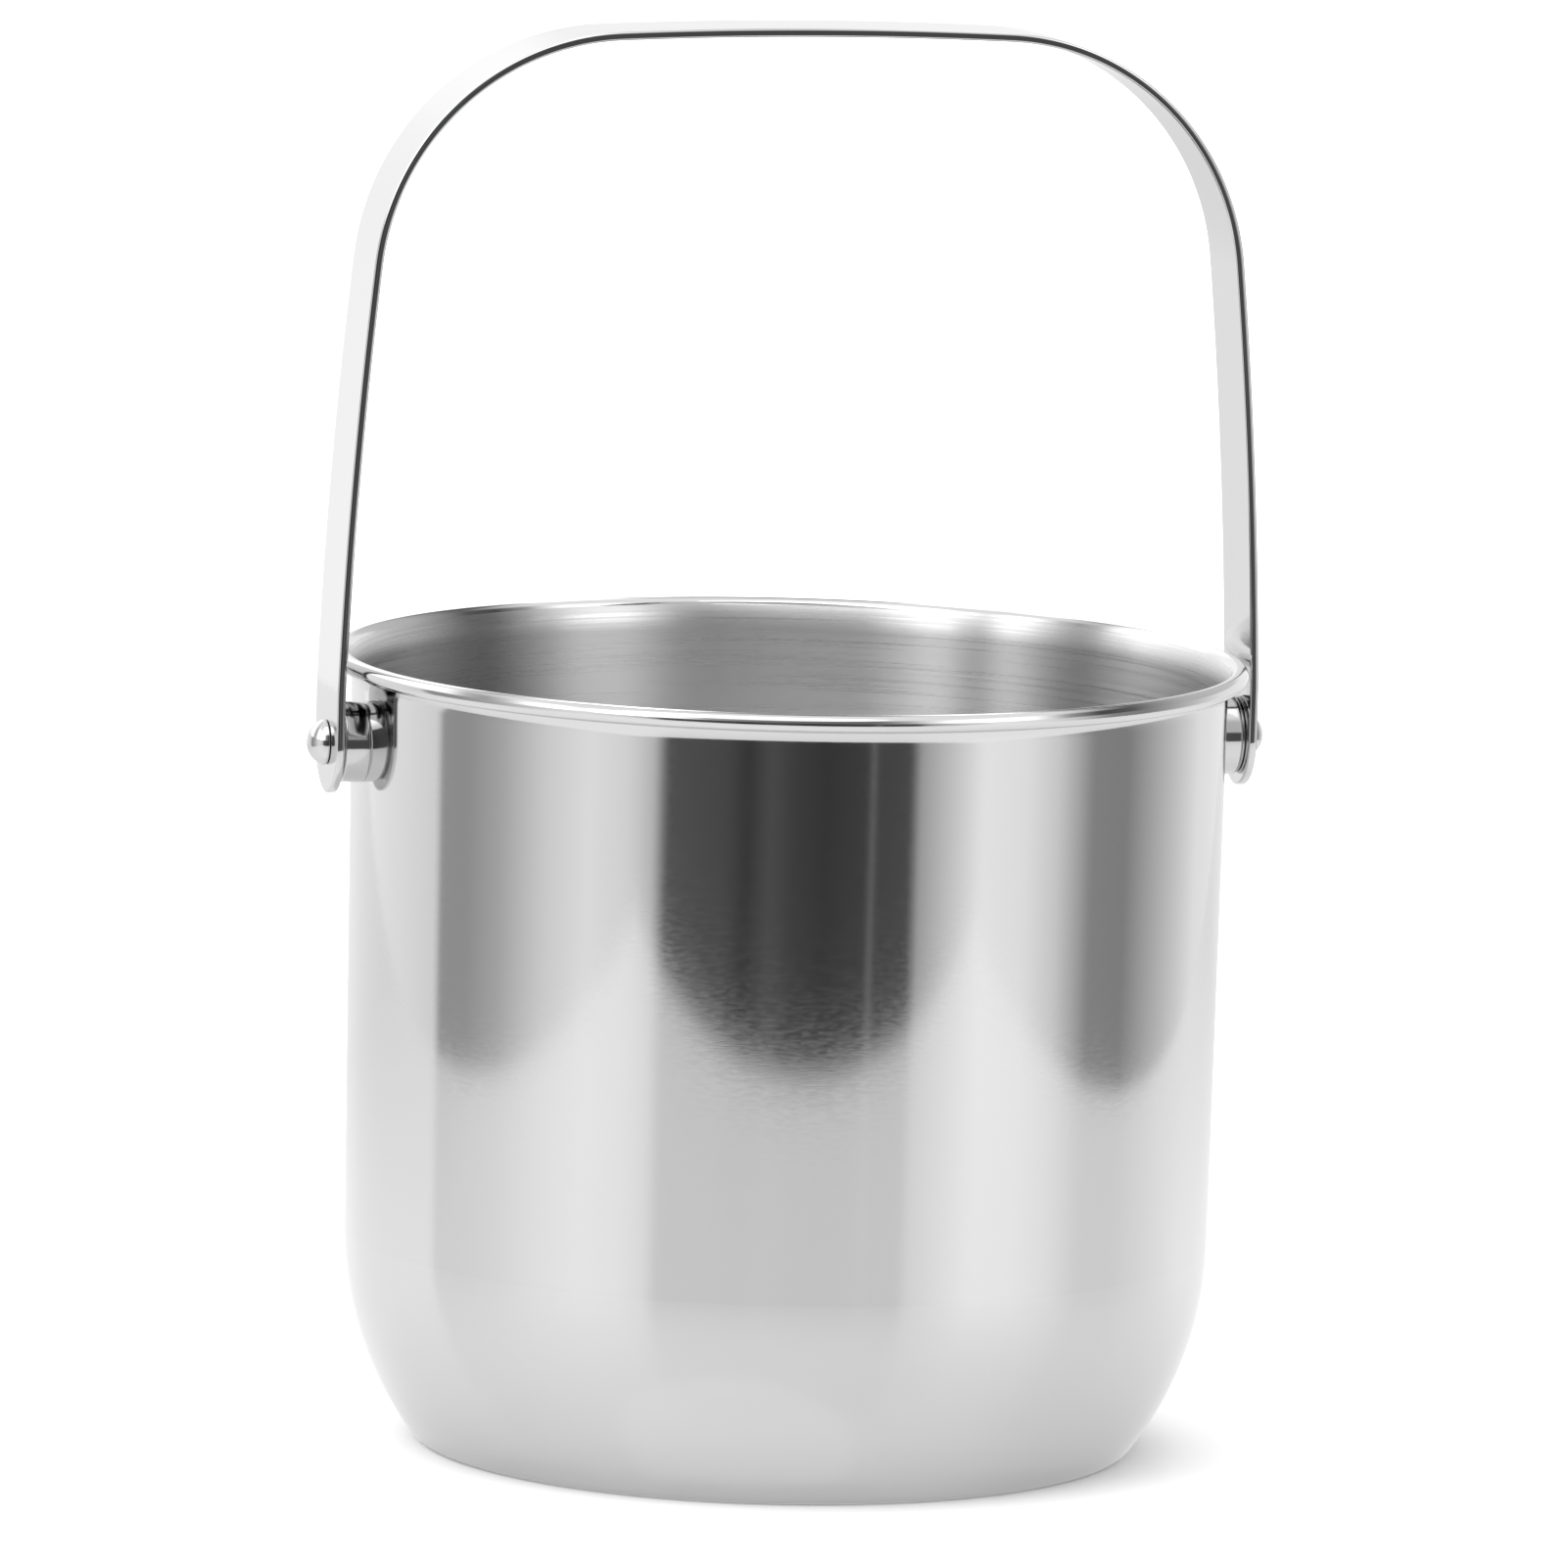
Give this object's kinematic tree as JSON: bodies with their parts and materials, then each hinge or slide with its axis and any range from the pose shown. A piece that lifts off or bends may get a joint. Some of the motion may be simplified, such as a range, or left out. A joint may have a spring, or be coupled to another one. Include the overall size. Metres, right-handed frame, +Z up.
{
  "type": "ice bucket",
  "caption": "Round single-wall ice bucket in polished steel with a rolled rim, a curved foot and a flat strap handle that swings on side rivets.",
  "frame": {"origin": "middle of the foot, on the plane the bucket stands on", "axes": "+Z up through the mouth, X along the handle's pivot axis, -Y towards the front"},
  "size_m": [0.1632, 0.152, 0.2367],
  "materials": {
    "body_steel": "mirror polished outside and on the rim, satin inside",
    "handle_steel": "polished strap with softened edges",
    "fitting_steel": "turned and polished",
    "washer_steel": "plain stamped"
  },
  "bodies": {
    "bucket": {"bucket_body": "body_steel", "pivot_boss_left": "fitting_steel", "pivot_boss_right": "fitting_steel", "handle_washer_left": "washer_steel", "handle_washer_right": "washer_steel", "pivot_rivet_left": "fitting_steel", "pivot_rivet_right": "fitting_steel"},
    "handle": {"bail_handle": "handle_steel"}
  },
  "joints": [
    {"name": "handle_swing", "type": "hinge", "parent": "bucket", "child": "handle", "pos_m": [0, 0, 0.118], "axis": [1, 0, 0], "range_deg": [-134, 134]}
  ]
}
